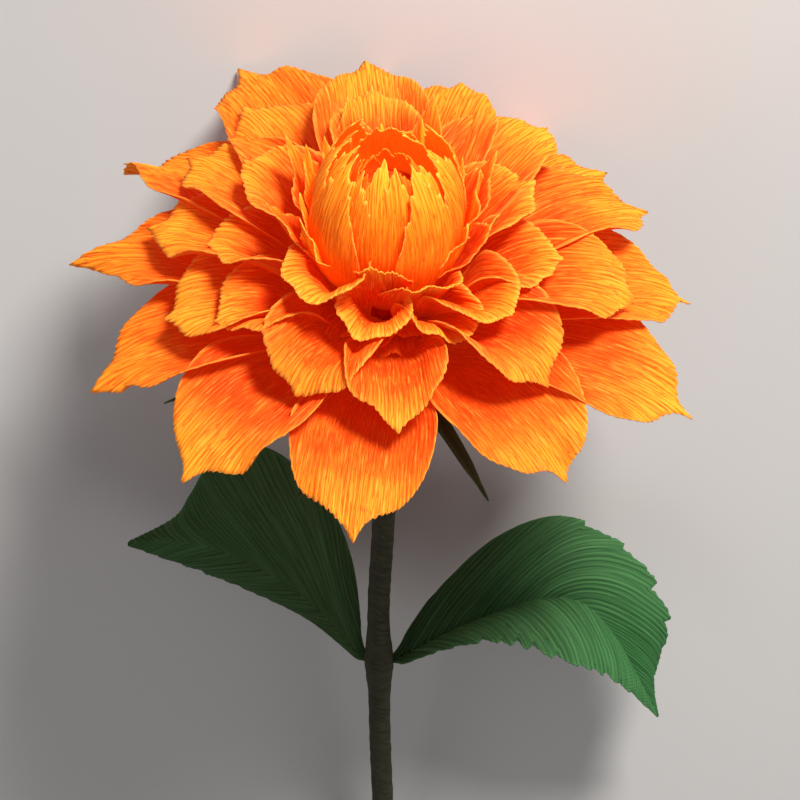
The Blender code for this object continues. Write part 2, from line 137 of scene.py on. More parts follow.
def makeLights():
    for name in ("key", "fill", "side"):
        setup = lightSetup[name]
        data = bpy.data.lights.new(name + "Light", "AREA")
        data.shape = "DISK"
        data.size = setup["size"]
        data.energy = setup["power"]
        data.color = setup["colour"]
        lamp = bpy.data.objects.new(name + "Light", data)
        bpy.context.scene.collection.objects.link(lamp)
        toward = Vector(setup["from"]).normalized()
        turn = toward.to_track_quat("Z", "Y").to_matrix().to_4x4()
        lamp.matrix_world = Matrix.Translation(toward * setup["distance"]) @ turn
    world = bpy.data.worlds.new("studio")
    bpy.context.scene.world = world
    world.use_nodes = True
    world.node_tree.nodes["Background"].inputs["Color"].default_value = (*lightSetup["world"], 1.0)
    world.node_tree.nodes["Background"].inputs["Strength"].default_value = lightSetup["worldStrength"]


def makeFloor():
    bpy.ops.mesh.primitive_plane_add(size=floorSetup["size"], location=(0.0, 0.0, 0.0))
    floor = bpy.context.active_object
    floor.name = "floor"
    material = bpy.data.materials.new("floorPaint")
    material.use_nodes = True
    shader = material.node_tree.nodes["Principled BSDF"]
    shader.inputs["Base Color"].default_value = (*floorSetup["colour"], 1.0)
    shader.inputs["Roughness"].default_value = 0.9
    floor.data.materials.append(material)


print("camera, lights and floor")
makeCamera()
makeLights()
makeFloor()
bpy.context.scene.view_settings.view_transform = "Standard"


# Shared effect: the ridges of crepe paper, read from a piece's fibre attribute
crepeGrain = {
    "ridge": (1.0, 1.0, 2.0),      # scale across the fibres, scale along them, detail
    "fine": (3.1, 2.6, 2.0),
    "mottle": (0.16, 2.2, 3.0),
    "line": (1.9, 1.6, 1.0),
    "roughness": 0.55,
    "modelled": 0.4,               # share of the modelled ridges in the painted ones
    "lineWidth": 0.05,
    "heights": {"ridge": 0.4, "fine": 0.5, "line": 7.0},
}


def makeCrepeGroup():
    group = bpy.data.node_groups.new("crepeRidges", "ShaderNodeTree")
    for name, value in (("Pitch", 1.1), ("Length", 26.0)):
        group.interface.new_socket(name, in_out="INPUT", socket_type="NodeSocketFloat").default_value = value
    for name in ("Ridge", "Fine", "Mottle", "Line", "Height"):
        group.interface.new_socket(name, in_out="OUTPUT", socket_type="NodeSocketFloat")
    nodes, links = group.nodes, group.links
    entry = nodes.new("NodeGroupInput")
    leave = nodes.new("NodeGroupOutput")
    fibre = nodes.new("ShaderNodeAttribute")
    fibre.attribute_name = "fibre"
    split = nodes.new("ShaderNodeSeparateXYZ")
    links.new(fibre.outputs["Vector"], split.inputs[0])

    def maths(operation, *values):
        node = nodes.new("ShaderNodeMath")
        node.operation = operation
        for socket, value in zip(node.inputs, values):
            if isinstance(value, (int, float)):
                socket.default_value = value
            else:
                links.new(value, socket)
        return node.outputs[0]

    def streaks(acrossScale, alongScale, detail):
        joined = nodes.new("ShaderNodeCombineXYZ")
        across = maths("DIVIDE", split.outputs[0], entry.outputs["Pitch"])
        along = maths("DIVIDE", split.outputs[1], entry.outputs["Length"])
        links.new(maths("MULTIPLY", across, acrossScale), joined.inputs[0])
        links.new(maths("MULTIPLY", along, alongScale), joined.inputs[1])
        links.new(split.outputs[2], joined.inputs[2])
        noise = nodes.new("ShaderNodeTexNoise")
        noise.inputs["Scale"].default_value = 1.0
        noise.inputs["Detail"].default_value = detail
        noise.inputs["Roughness"].default_value = crepeGrain["roughness"]
        links.new(joined.outputs[0], noise.inputs["Vector"])
        return noise.outputs["Fac"]

    relief = nodes.new("ShaderNodeAttribute")
    relief.attribute_name = "relief"
    shaped = nodes.new("ShaderNodeSeparateXYZ")
    links.new(relief.outputs["Vector"], shaped.inputs[0])
    share, heights = crepeGrain["modelled"], crepeGrain["heights"]
    modelled = maths("MULTIPLY_ADD", shaped.outputs[0], -share / 2.0, share / 2.0)
    ridge = maths("ADD", maths("MULTIPLY", streaks(*crepeGrain["ridge"]), 1.0 - share), modelled)
    fine = streaks(*crepeGrain["fine"])
    line = maths("ABSOLUTE", maths("SUBTRACT", streaks(*crepeGrain["line"]), 0.5))
    thin = maths("MULTIPLY", maths("MINIMUM", line, crepeGrain["lineWidth"]), heights["line"])
    height = maths("MULTIPLY_ADD", fine, heights["fine"], thin)
    height = maths("ADD", maths("MULTIPLY", ridge, heights["ridge"]), height)
    for name, value in (("Ridge", ridge), ("Fine", fine), ("Mottle", streaks(*crepeGrain["mottle"])),
                        ("Line", line), ("Height", height)):
        links.new(value, leave.inputs[name])
    return group


crepeGroup = makeCrepeGroup()


def linkTo(tree, value, socket):
    if isinstance(value, bpy.types.NodeSocket):
        tree.links.new(value, socket)
    else:
        socket.default_value = value


def mixColours(tree, factor, first, second):
    mix = tree.nodes.new("ShaderNodeMix")
    mix.data_type = "RGBA"
    for value, socket in zip((factor, first, second), (mix.inputs[0], mix.inputs[6], mix.inputs[7])):
        if isinstance(value, tuple) and len(value) == 3:
            value = (*value, 1.0)
        linkTo(tree, value, socket)
    return mix.outputs[2]


def spread(tree, value, fromLow, fromHigh, toLow=0.0, toHigh=1.0):
    node = tree.nodes.new("ShaderNodeMapRange")
    node.interpolation_type = "SMOOTHSTEP"
    for socket, number in zip(("Value", "From Min", "From Max", "To Min", "To Max"),
                              (value, fromLow, fromHigh, toLow, toHigh)):
        linkTo(tree, number, node.inputs[socket])
    return node.outputs[0]


# Where in the grain's range each effect begins and ends
crepeBands = {
    "mottle": (0.35, 0.70),
    "groove": (0.56, 0.34),
    "line": (0.050, 0.0),
    "crest": (0.50, 0.72),
    "rough": (0.3, 0.7),
    "roughSpread": 0.08,
    "sheenRoughness": 0.5,
    "specular": 0.12,
}


def crepeMaterial(name, look):
    material = bpy.data.materials.new(name)
    material.use_nodes = True
    tree = material.node_tree
    shader = tree.nodes["Principled BSDF"]
    crepe = tree.nodes.new("ShaderNodeGroup")
    crepe.node_tree = crepeGroup
    crepe.inputs["Pitch"].default_value = look["pitch"]
    crepe.inputs["Length"].default_value = look["streak"]
    place = tree.nodes.new("ShaderNodeAttribute")
    place.attribute_name = "place"               # along the piece, mm from its rim, and a number of its own: a random tone, on the leaves the share of painted shade and bounced light
    split = tree.nodes.new("ShaderNodeSeparateXYZ")
    tree.links.new(place.outputs["Vector"], split.inputs[0])
    along, rim, own = split.outputs
    # foot to tip: on petals and leaves the dark foot is partly painted shade, the light tip partly painted light
    colour = mixColours(tree, spread(tree, along, *look["deepTo"]), look["deep"], look["middle"])
    # over them: painted light at the tip, random mottle, the piece's tint, painted shade in the grooves and fine
    # lines, painted highlight on the crests, then the rim's colour
    for source, band, amount, over in (
        (along, look["lightTo"], 1.0, "light"),
        (crepe.outputs["Mottle"], crepeBands["mottle"], look["mottle"], "mottled"),
        (own, (0.0, 1.0), look["toneAndBounceTint"], "tinted"),
        (crepe.outputs["Ridge"], crepeBands["groove"], look["groove"], "grooveShade"),
        (crepe.outputs["Line"], crepeBands["line"], look["thin"], "grooveShade"),
        (crepe.outputs["Fine"], crepeBands["crest"], look["crest"], "crestHighlight"),
        (rim, (look["edgeWidth"], 0.0), look["edge"], "edged"),
    ):
        colour = mixColours(tree, spread(tree, source, *band, 0.0, amount), colour, look[over])
    tree.links.new(colour, shader.inputs["Base Color"])
    rough = (look["rough"] + crepeBands["roughSpread"], look["rough"] - crepeBands["roughSpread"])
    tree.links.new(spread(tree, crepe.outputs["Fine"], *crepeBands["rough"], *rough), shader.inputs["Roughness"])
    bump = tree.nodes.new("ShaderNodeBump")
    bump.inputs["Strength"].default_value = look["bump"]
    bump.inputs["Distance"].default_value = look["bumpDepth"]
    tree.links.new(crepe.outputs["Height"], bump.inputs["Height"])
    tree.links.new(bump.outputs["Normal"], shader.inputs["Normal"])
    shader.inputs["Sheen Weight"].default_value = look["sheen"]
    shader.inputs["Sheen Roughness"].default_value = crepeBands["sheenRoughness"]
    shader.inputs["Sheen Tint"].default_value = (*look["light"], 1.0)
    shader.inputs["Specular IOR Level"].default_value = crepeBands["specular"]
    shader.inputs["Emission Color"].default_value = (*look["glowing"], 1.0)   # painted glow: an emission that stands in for light coming through the paper and bouncing between the petals
    shader.inputs["Emission Strength"].default_value = look["glow"]
    return material


# Papers: deep, middle and light run from foot to tip, and the rest lies over them in crepeMaterial's order. On
# petals and leaves the dark foot is partly painted shade and the light tip partly painted light
petalLook = {
    "pitch": 1.00, "streak": 15.0,
    "deep": (0.60, 0.010, 0.001), "middle": (0.90, 0.115, 0.003), "light": (1.0, 0.41, 0.025),
    "deepTo": (0.42, 0.90), "lightTo": (0.62, 0.98),
    "mottle": 0.30, "mottled": (1.0, 0.32, 0.018), "toneAndBounceTint": 0.25, "tinted": (0.93, 0.16, 0.005),
    "groove": 0.50, "grooveShade": (0.70, 0.043, 0.002), "thin": 0.62, "crest": 0.36, "crestHighlight": (1.0, 0.51, 0.065),
    "edgeWidth": 1.2, "edge": 0.38, "edged": (1.0, 0.52, 0.07),
    "rough": 0.72, "bump": 1.0, "bumpDepth": 0.00034, "sheen": 0.04, "glowing": (0.75, 0.030, 0.001), "glow": 0.21,
}
# A copy of the petals' paper whose painted shade reaches further up, for the deep cups
cupShadeLook = dict(petalLook, deepTo=(0.52, 0.94), lightTo=(0.74, 1.0))
# The bud's paper: its lighter top is partly painted light, and its stronger glow is painted, warming the shaded side
budLook = dict(
    petalLook, deep=(0.80, 0.060, 0.002), middle=(0.98, 0.20, 0.005), light=(1.0, 0.45, 0.022),
    deepTo=(0.10, 0.55), lightTo=(0.55, 0.97), edged=(1.0, 0.66, 0.12), edge=0.30, edgeWidth=1.0,
    crestHighlight=(1.0, 0.48, 0.04), glowing=(0.92, 0.09, 0.001), glow=0.29,
)
# A copy of the bud's paper with a stronger painted glow, for the petals whose shaded insides show
farBudGlowLook = dict(budLook, glowing=(0.95, 0.17, 0.005), glow=0.38)
# A darker copy with painted shade and a faint painted glow, for the petals in the depths of the bloom
shadeLook = dict(petalLook, light=(0.90, 0.120, 0.004), deepTo=(0.45, 1.0), edged=(1.0, 0.26, 0.02), glow=0.10)
# The heart's paper: redder, with a strong painted glow that lights the inside of the bud
heartLook = dict(
    petalLook, deep=(0.80, 0.040, 0.002), middle=(0.93, 0.090, 0.003), light=(0.98, 0.17, 0.005),
    edged=(1.0, 0.30, 0.02), edge=0.3, edgeWidth=0.7, glowing=(0.95, 0.13, 0.004), glow=0.40,
)
# Leaf paper: its tinted olive is painted shade and warm light bounced from the petals, laid mostly on the left leaf
leafLook = dict(
    petalLook, pitch=1.15, streak=30.0,
    deep=(0.040, 0.082, 0.026), middle=(0.046, 0.140, 0.043), light=(0.052, 0.200, 0.060),
    deepTo=(0.10, 0.60), lightTo=(0.45, 0.95), mottled=(0.060, 0.175, 0.062), toneAndBounceTint=0.8,
    tinted=(0.062, 0.098, 0.030), grooveShade=(0.012, 0.050, 0.017), thin=0.50, crestHighlight=(0.070, 0.21, 0.085),
    edged=(0.07, 0.21, 0.08), edge=0.35, sheen=0.03, glow=0.0,
)
calyxLook = dict(
    leafLook, pitch=0.9, toneAndBounceTint=0.3,
    deep=(0.034, 0.062, 0.022), middle=(0.048, 0.088, 0.032), light=(0.062, 0.115, 0.044),
    mottled=(0.075, 0.105, 0.042), tinted=(0.045, 0.070, 0.028), grooveShade=(0.020, 0.034, 0.014),
    crestHighlight=(0.090, 0.15, 0.070), edged=(0.09, 0.14, 0.065),
)
stemLook = dict(
    leafLook, pitch=0.8, toneAndBounceTint=0.3, streak=9.0, deep=(0.040, 0.040, 0.022), middle=(0.058, 0.056, 0.032),
    light=(0.070, 0.068, 0.040), mottled=(0.085, 0.078, 0.048), tinted=(0.045, 0.045, 0.024),
    grooveShade=(0.022, 0.022, 0.012), crestHighlight=(0.11, 0.105, 0.065), edged=(0.05, 0.05, 0.03), edge=0.6, edgeWidth=0.7,
)
petalMaterial = crepeMaterial("orangeCrepe", petalLook)
cupShadeMaterial = crepeMaterial("cupShadeCrepe", cupShadeLook)
budMaterial = crepeMaterial("budCrepe", budLook)
farBudGlowMaterial = crepeMaterial("farBudGlowCrepe", farBudGlowLook)
heartMaterial = crepeMaterial("heartCrepe", heartLook)
shadeMaterial = crepeMaterial("shadeCrepe", shadeLook)
leafMaterial = crepeMaterial("leafCrepe", leafLook)
calyxMaterial = crepeMaterial("calyxCrepe", calyxLook)
stemMaterial = crepeMaterial("stemStrip", stemLook)


def noiseMaterial(name, dark, light, scale, roughness, metallic=0.0, specular=0.12):
    material = bpy.data.materials.new(name)
    material.use_nodes = True
    tree = material.node_tree
    shader = tree.nodes["Principled BSDF"]
    where = tree.nodes.new("ShaderNodeTexCoord")
    noise = tree.nodes.new("ShaderNodeTexNoise")
    noise.inputs["Scale"].default_value = scale
    noise.inputs["Detail"].default_value = 4.0
    tree.links.new(where.outputs["Object"], noise.inputs["Vector"])
    colour = mixColours(tree, spread(tree, noise.outputs["Fac"], 0.35, 0.65), dark, light)
    tree.links.new(colour, shader.inputs["Base Color"])
    tree.links.new(spread(tree, noise.outputs["Fac"], 0.3, 0.7, roughness - 0.08, roughness + 0.08),
                   shader.inputs["Roughness"])
    bump = tree.nodes.new("ShaderNodeBump")
    bump.inputs["Strength"].default_value = 0.4
    bump.inputs["Distance"].default_value = 0.0002
    tree.links.new(noise.outputs["Fac"], bump.inputs["Height"])
    tree.links.new(bump.outputs["Normal"], shader.inputs["Normal"])
    shader.inputs["Metallic"].default_value = metallic
    shader.inputs["Specular IOR Level"].default_value = specular
    return material


def newSheet(name, columns, rows):
    # A flat grid: its columns go across the piece, from -1 to 1, and its rows along it, from 0 to 1
    bpy.ops.object.select_all(action="DESELECT")
    bpy.ops.mesh.primitive_grid_add(x_subdivisions=columns, y_subdivisions=rows, size=2.0)
    sheet = bpy.context.active_object
    sheet.name = name
    sheet.data.name = name
    flat = np.empty(len(sheet.data.vertices) * 3)
    sheet.data.vertices.foreach_get("co", flat)
    flat = flat.reshape(rows + 1, columns + 1, 3)
    return sheet, flat[..., 0], (flat[..., 1] + 1.0) / 2.0


def crossLines(points):
    # The way that a sheet's grid faces at each corner
    acrossStep = np.gradient(points, axis=1)
    alongStep = np.gradient(points, axis=0)
    normals = np.cross(acrossStep, alongStep)
    return normals / np.maximum(np.linalg.norm(normals, axis=-1, keepdims=True), 1e-12)


def storeLines(sheet, name, values):
    layer = sheet.data.attributes.new(name, "FLOAT_VECTOR", "POINT")
    layer.data.foreach_set("vector", values.reshape(-1).astype(np.float32))


def placeCorners(piece, points, fibre, place):
    # From the flower's axes to the world's
    turn = np.array(flower.to_3x3())
    world = points @ turn.T + np.array(flower.translation)
    piece.data.vertices.foreach_set("co", world.reshape(-1))
    storeLines(piece, "fibre", fibre)
    storeLines(piece, "place", place)
    piece.data.update()


def thicken(sheet, thickness, material):
    paper = sheet.modifiers.new("Paper", "SOLIDIFY")
    paper.thickness = thickness
    paper.offset = 0.0
    bpy.ops.object.modifier_apply(modifier=paper.name)
    bpy.ops.object.shade_smooth()
    sheet.data.materials.append(material)


def finishSheet(sheet, points, fibre, place, ridges, thickness, material):
    placeCorners(sheet, points, fibre, place)
    storeLines(sheet, "relief", np.stack([ridges, np.zeros_like(ridges), np.zeros_like(ridges)], axis=-1))
    thicken(sheet, thickness, material)
    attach(sheet, "root")
    return sheet


def smoothStep(low, high, value):
    share = np.clip((value - low) / (high - low), 0.0, 1.0)
    return share * share * (3.0 - 2.0 * share)


def softNoise(rng, places, waves):
    total = np.zeros_like(places)
    for wave in waves:
        total += math.sqrt(1.0 / len(waves)) * np.sin(places * wave * rng.uniform(0.8, 1.2) + rng.uniform(0, 6.28))
    return total


# Petals: the first values of each ring are those of its solids, and its paper says how it looks
petalRings = {
    "bud": {
        "footWidth": 0.0020, "width": 0.0105, "shoulder": 0.50, "point": 0.45, "belly": 0.45,
        "cup": (20.0, 34.0, 52.0), "bend": -106.0,
        "paper": {"point": 0.34, "cup": (20.0, 38.0, 56.0), "cusp": 0.03, "lip": 0.0, "lipWidth": 0.002,
                  "feather": 0.080, "ripple": 0.0003, "twist": 3.0, "lean": 0.010, "askew": 0.10},
        "columns": 80, "rows": 40,
    },
    "inner": {
        "footWidth": 0.0020, "width": 0.0105, "shoulder": 0.50, "point": 0.50, "belly": 0.45,
        "cup": (20.0, 34.0, 30.0), "bend": -52.0,
        "paper": {"point": 0.50, "cup": (30.0, 70.0, 46.0), "recurve": 16.0, "cusp": 0.05, "lip": 0.0006,
                  "lipWidth": 0.004, "feather": 0.02, "ripple": 0.0007, "twist": 8.0, "lean": 0.02, "askew": 0.15},
        "columns": 80, "rows": 34,
    },
    "third": {
        "footWidth": 0.0021, "width": 0.0150, "shoulder": 0.66, "point": 0.20, "belly": 0.70,
        "cup": (16.0, 70.0, 66.0), "bend": -20.0,
        "paper": {"point": 0.06, "cup": (26.0, 88.0, 58.0), "belly": 0.62, "recurve": 26.0, "cusp": 0.045,
                  "lip": 0.0016, "lipWidth": 0.0042, "ripple": 0.0007, "twist": 6.0, "lean": 0.02, "askew": 0.12},
        "columns": 104, "rows": 36,
    },
    "second": {
        "footWidth": 0.0021, "width": 0.0170, "shoulder": 0.62, "point": 0.30, "belly": 0.60,
        "cup": (14.0, 48.0, 40.0), "bend": 14.0,
        "paper": {"point": 0.08, "cup": (22.0, 70.0, 30.0), "belly": 0.45, "recurve": 34.0, "cusp": 0.05,
                  "lip": 0.0012, "lipWidth": 0.006, "ripple": 0.0010, "twist": 7.0, "lean": 0.02, "askew": 0.14},
        "columns": 112, "rows": 36,
    },
    "outer": {
        "footWidth": 0.0022, "width": 0.0195, "shoulder": 0.60, "point": 0.40, "belly": 0.55,
        "cup": (12.0, 32.0, 26.0), "bend": 34.0,
        "paper": {"point": 0.06, "cup": (20.0, 48.0, 22.0), "belly": 0.42, "recurve": 20.0, "cusp": 0.07,
                  "lip": 0.0008, "lipWidth": 0.008, "ripple": 0.0013, "twist": 6.0, "lean": 0.02, "askew": 0.15},
        "columns": 128, "rows": 38,
    },
}
petalCommon = {
    "firstSeed": 100,
    "farSide": 0.3,          # the sine of the azimuth past which a bud petal shows its inside and takes the stronger painted glow
    "spreadPower": 2.2,
    "crownRound": (2.2, 0.6),
    "crownPoint": 1.6,
    "thickness": 0.00030,
    "neckHeight": 0.004,     # a point inside the neck, which every foot is nearest to
    "planeReach": 0.00002,   # corners this near a petal's own plane lie on its middle line
    "solidRows": 6,
    "curlKept": 0.1,         # how much of its solid's own curl a petal keeps
}
petalEdge = {
    "wander": 0.05,
    "cuspWidth": 0.09, "cuspPower": 1.2,
    "toothDepth": 0.00062, "toothPitch": 0.9, "toothPower": 0.7, "rough": 0.32,
    "spikes": (-0.60, -0.38, -0.18, 0.03, 0.22, 0.42, 0.62),
    "spikeStray": 0.06, "spikeHeights": (0.3, 1.0), "spikeWidths": (0.05, 0.09), "lowered": 0.8,
}
petalGrain = {
    "pitch": 0.00115, "height": 0.00016, "begins": (0.05, 0.45),
    "weights": (0.65, 0.35), "secondPitch": 1.63, "wander": 1.6, "slowWander": 0.5,
    "rippleReach": 0.014, "rippleBegins": (0.35, 0.7), "lipBegins": (0.25, 0.5),
}
# What sets single petals apart from their ring: a tip is its radius and height, a shift is added to the
# solid's tip, and a hollow petal takes the colours of the deep cups, with painted shade further up the petal
petalTouches = {
    "petal_inner_01": {"width": 0.0085, "cup": (30.0, 60.0, 50.0), "point": 0.0, "cusp": 0.0, "lip": 0.0010,
                       "feather": 0.0, "tip": (0.0222, 0.0352)},
    "petal_inner_05": {"width": 0.0120, "cup": (30.0, 80.0, 62.0), "point": 0.0, "lip": 0.0012, "cusp": 0.02,
                       "feather": 0.0},
    "petal_third_01": {"cup": (40.0, 128.0, 100.0), "lip": 0.0022, "lipWidth": 0.0046, "cusp": 0.02,
                       "width": 0.0130, "tip": (0.0312, 0.0222), "twist": 0.0, "lean": 0.0},
    "petal_third_06": {"cup": (36.0, 112.0, 92.0), "lip": 0.0030, "lipWidth": 0.0066, "cusp": 0.02, "askew": 0.3,
                       "tip": (0.0312, 0.0315), "azimuth": -131.0},
    "petal_third_07": {"cup": (36.0, 112.0, 88.0), "lip": 0.0018, "lipWidth": 0.0040, "cusp": 0.02,
                       "width": 0.0124, "tip": (0.0345, 0.0205), "lean": 0.06, "azimuth": -60.5, "askew": 0.0,
                       "twist": 0.0},
    "petal_second_08": {"cup": (28.0, 94.0, 70.0), "belly": 0.52, "point": 0.0, "cusp": 0.04, "lip": 0.0026,
                        "lipWidth": 0.0060, "width": 0.0160, "askew": -0.10, "twist": -4.0, "hollow": True},
    "petal_second_09": {"cup": (26.0, 78.0, 46.0), "belly": 0.50, "point": 0.16, "cusp": 0.050, "width": 0.0145,
                        "twist": 0.0, "askew": 0.0, "lean": 0.0, "hollow": True},
    "petal_second_01": {"cup": (28.0, 92.0, 56.0), "point": 0.02, "lip": 0.0024, "hollow": True},
    "petal_second_02": {"cup": (24.0, 80.0, 36.0)},
    "petal_second_12": {"cup": (24.0, 84.0, 44.0)},
    "petal_outer_01": {"width": 0.0170, "cup": (24.0, 70.0, 46.0), "twist": 16.0, "ripple": 0.0020},
    "petal_outer_08": {"width": 0.0160, "cup": (20.0, 58.0, 40.0), "twist": -12.0, "point": 0.40},
    "petal_outer_11": {"shift": (0.002, 0.008), "cup": (22.0, 56.0, 30.0)},
    "petal_outer_09": {"cup": (20.0, 62.0, 40.0), "point": 0.30},
}


def petalLine(seat, tip, bend, recurve, share):
    # Radius, height and heading along a petal's middle line, which bends from seat to tip
    steps = np.linspace(0.0, 1.12, 113)          # a cusp may reach a little past the tip
    heading = -math.radians(bend) * steps - math.radians(recurve) * smoothStep(0.45, 1.0, steps)
    middle = (heading[1:] + heading[:-1]) / 2.0
    out = np.concatenate([[0.0], np.cumsum(np.cos(middle))])
    up = np.concatenate([[0.0], np.cumsum(np.sin(middle))])
    endOut, endUp = np.interp(1.0, steps, out), np.interp(1.0, steps, up)
    grow = math.hypot(tip[0] - seat[0], tip[1] - seat[1]) / math.hypot(endOut, endUp)
    turn = math.atan2(tip[1] - seat[1], tip[0] - seat[0]) - math.atan2(endUp, endOut)
    radius = seat[0] + grow * (out * math.cos(turn) - up * math.sin(turn))
    height = seat[1] + grow * (out * math.sin(turn) + up * math.cos(turn))
    return np.interp(share, steps, radius), np.interp(share, steps, height), np.interp(share, steps, heading + turn)


def petalCrown(shape, across):
    inner, outer = petalCommon["crownRound"]
    rounded = (1.0 - np.abs(across) ** inner) ** outer
    return (1.0 - shape["point"]) * rounded + shape["point"] * (1.0 - np.abs(across)) ** petalCommon["crownPoint"]


def petalSurface(shape, pose, across, share):
    # The sheet opens out from its foot, curls up on both sides of its middle line, twists and leans
    foot, belly, rim = (math.radians(angle) * pose["curl"] for angle in shape["cup"])
    opening = np.sin(math.pi / 2.0 * np.minimum(share / shape["shoulder"], 1.0)) ** petalCommon["spreadPower"]
    halfWidth = shape["footWidth"] + (shape["width"] - shape["footWidth"]) * opening
    cup = foot + (belly - foot) * smoothStep(0.0, 1.0, share / shape["belly"])
    cup = cup + (rim - belly) * smoothStep(0.0, 1.0, (share - shape["belly"]) / (1.0 - shape["belly"]))
    cup = cup * (1.0 + shape.get("askew", 0.0) * across)
    radius, height, heading = petalLine(pose["seat"], pose["tip"], shape["bend"], shape.get("recurve", 0.0), share)
    side = halfWidth / cup * np.sin(across * cup)
    rise = halfWidth / cup * (1.0 - np.cos(across * cup))
    twist = math.radians(shape.get("twist", 0.0)) * smoothStep(0.2, 1.0, share)
    side, rise = side * np.cos(twist) - rise * np.sin(twist), side * np.sin(twist) + rise * np.cos(twist)
    side = side + shape.get("lean", 0.0) * share**2 * (pose["tip"][0] - pose["seat"][0])
    points = np.stack([radius - rise * np.sin(heading), side, height + rise * np.cos(heading)], axis=-1)
    return points, halfWidth


def readPose(name, ring):
    # Azimuth, seat, tip and curl, read back from a petal's solid
    corners = [flowerInverse @ corner for corner in nodePoints(name)]
    middle = sum(corners, Vector()) / len(corners)
    azimuth = math.atan2(middle.y, middle.x)
    own = [Matrix.Rotation(-azimuth, 3, "Z") @ corner for corner in corners]
    line = [corner for corner in own if abs(corner.y) < petalCommon["planeReach"]]
    neck = Vector((0.0, 0.0, petalCommon["neckHeight"]))
    line.sort(key=lambda corner: (corner - neck).length)
    seat = (line[0] + line[1]) / 2.0
    tip = (line[-1] + line[-2]) / 2.0
    pose = {"azimuth": azimuth, "seat": (seat.x, seat.z), "tip": (tip.x, tip.z), "curl": 1.0}
    tree = KDTree(len(own))
    for index, corner in enumerate(own):
        tree.insert(corner, index)
    tree.balance()
    across = np.array([-1.0, 0.0, 1.0])[None, :].repeat(petalCommon["solidRows"] + 1, axis=0)
    rows = np.arange(petalCommon["solidRows"] + 1)[:, None] / petalCommon["solidRows"]
    share = rows * (ring["shoulder"] + (1.0 - ring["shoulder"]) * petalCrown(ring, across))

    def misfit(curl):
        points, _ = petalSurface(ring, dict(pose, curl=curl), across, share)
        return sum(tree.find(point)[2] for point in points.reshape(-1, 3))

    best = min((step / 10.0 for step in range(1, 16)), key=misfit)
    pose["curl"] = min((best + step / 100.0 for step in range(-9, 10)), key=misfit)
    return pose


def turnAbout(points, azimuth):
    cosine, sine = math.cos(azimuth), math.sin(azimuth)
    x = points[..., 0] * cosine - points[..., 1] * sine
    y = points[..., 0] * sine + points[..., 1] * cosine
    return np.stack([x, y, points[..., 2]], axis=-1)


def petalOutline(shape, rng, line, length):
    # How far along its length each line of the petal's grid reaches
    crown = petalCrown(shape, line) + petalEdge["wander"] * softNoise(rng, line, (3.0, 6.0)) * (1.0 - np.abs(line))
    outline = shape["shoulder"] + (1.0 - shape["shoulder"]) * crown
    cusp = np.exp(-((np.abs(line) / petalEdge["cuspWidth"]) ** petalEdge["cuspPower"]))
    outline = outline * (1.0 - shape["cusp"]) + shape["cusp"] * cusp
    teeth = line * shape["width"] / petalGrain["pitch"] * petalEdge["toothPitch"]
    teeth = np.abs(np.sin(teeth * math.pi + softNoise(rng, line, (5.0, 11.0)))) ** petalEdge["toothPower"]
    rough = np.array([rng.uniform(-petalEdge["rough"], petalEdge["rough"]) for _ in line])
    outline = outline - petalEdge["toothDepth"] / length * (1.0 - teeth + rough)
    if shape.get("feather"):
        stray, lowered = petalEdge["spikeStray"], petalEdge["lowered"]
        spikes = np.zeros_like(line)
        for place in petalEdge["spikes"]:
            middle = place + rng.uniform(-stray, stray)
            high, wide = rng.uniform(*petalEdge["spikeHeights"]), rng.uniform(*petalEdge["spikeWidths"])
            spike = high * (1.0 - lowered * abs(middle)) * np.exp(-(((line - middle) / wide) ** 2))
            spikes = np.maximum(spikes, spike)
        outline = outline * (1.0 - shape["feather"] * lowered) + shape["feather"] * spikes
    return outline


